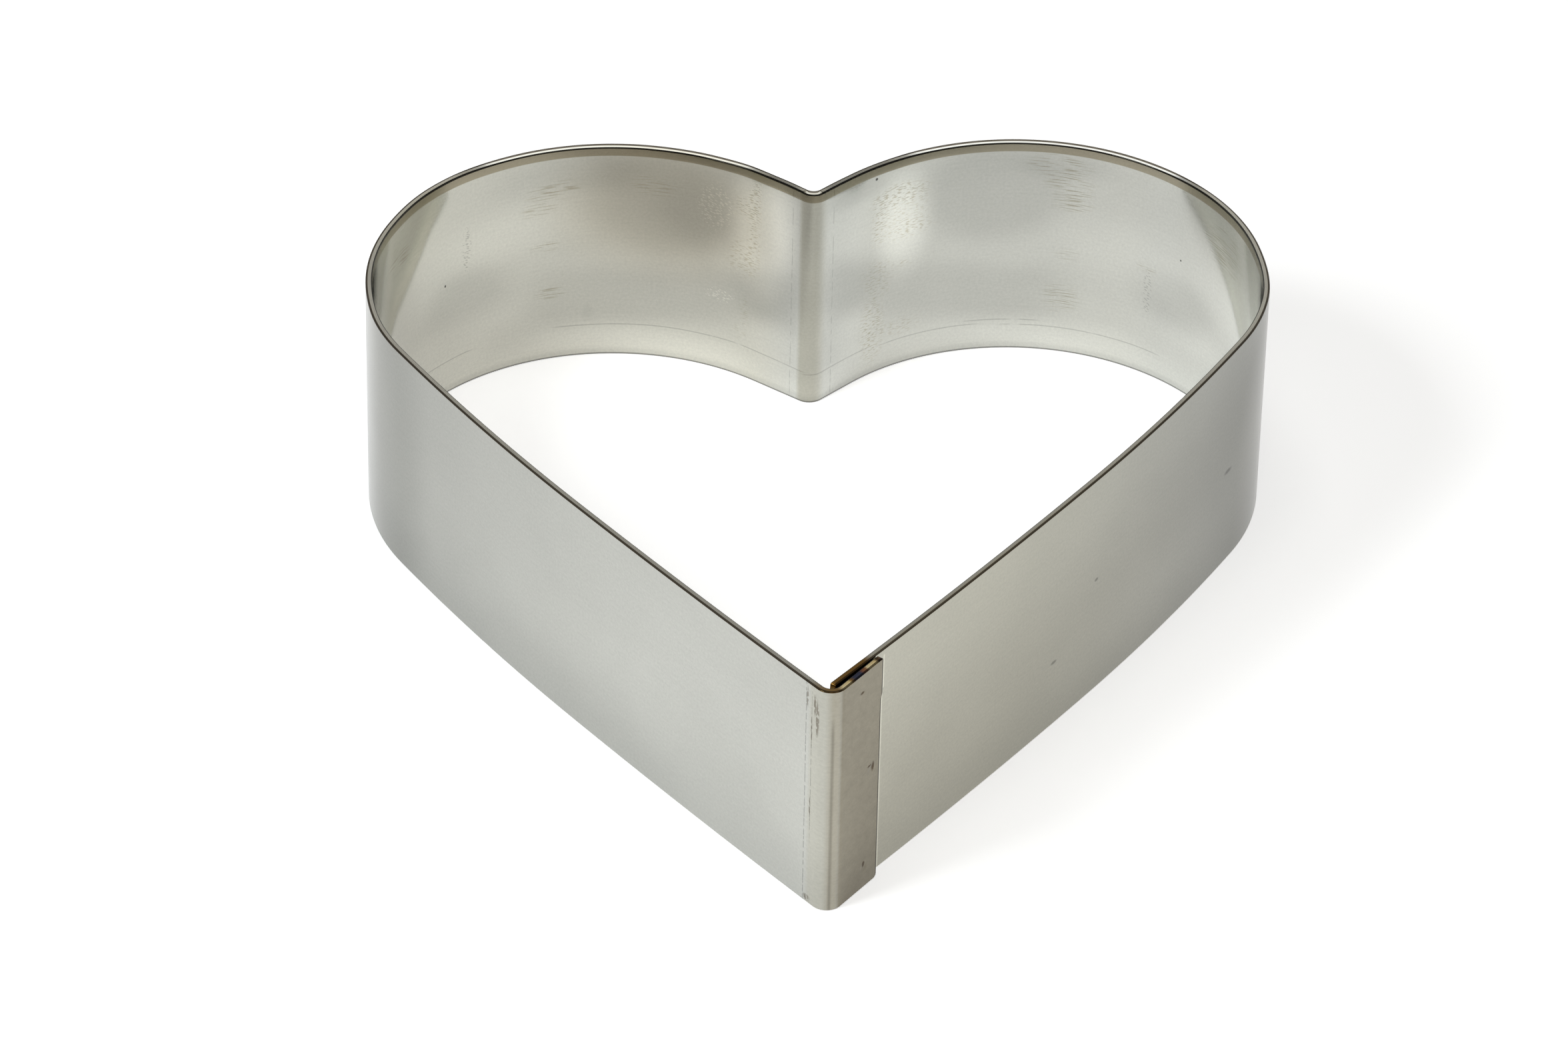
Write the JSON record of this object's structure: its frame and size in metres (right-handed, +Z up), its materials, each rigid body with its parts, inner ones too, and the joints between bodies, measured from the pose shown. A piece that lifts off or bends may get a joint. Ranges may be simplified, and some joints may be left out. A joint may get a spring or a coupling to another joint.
{
  "type": "heart cake ring",
  "caption": "Open heart-shaped ring bent from one strip of stainless steel, lapped and spot welded at its tip, for shaping cake, mousse or dough.",
  "frame": {"origin": "centre of the bounding box, at the level of the lower rim", "axes": "+Z up through the open heart, +Y from the heart's tip towards its notch, +X to the side that carries the lap"},
  "size_m": [0.1576, 0.1644, 0.045],
  "materials": {
    "stainless_strip": "satin mill finish",
    "weld_nugget": "heat tinted"
  },
  "bodies": {
    "root": {"heart_band": "stainless_strip", "upper_spot_weld": "weld_nugget", "middle_spot_weld": "weld_nugget", "lower_spot_weld": "weld_nugget"}
  },
  "joints": []
}
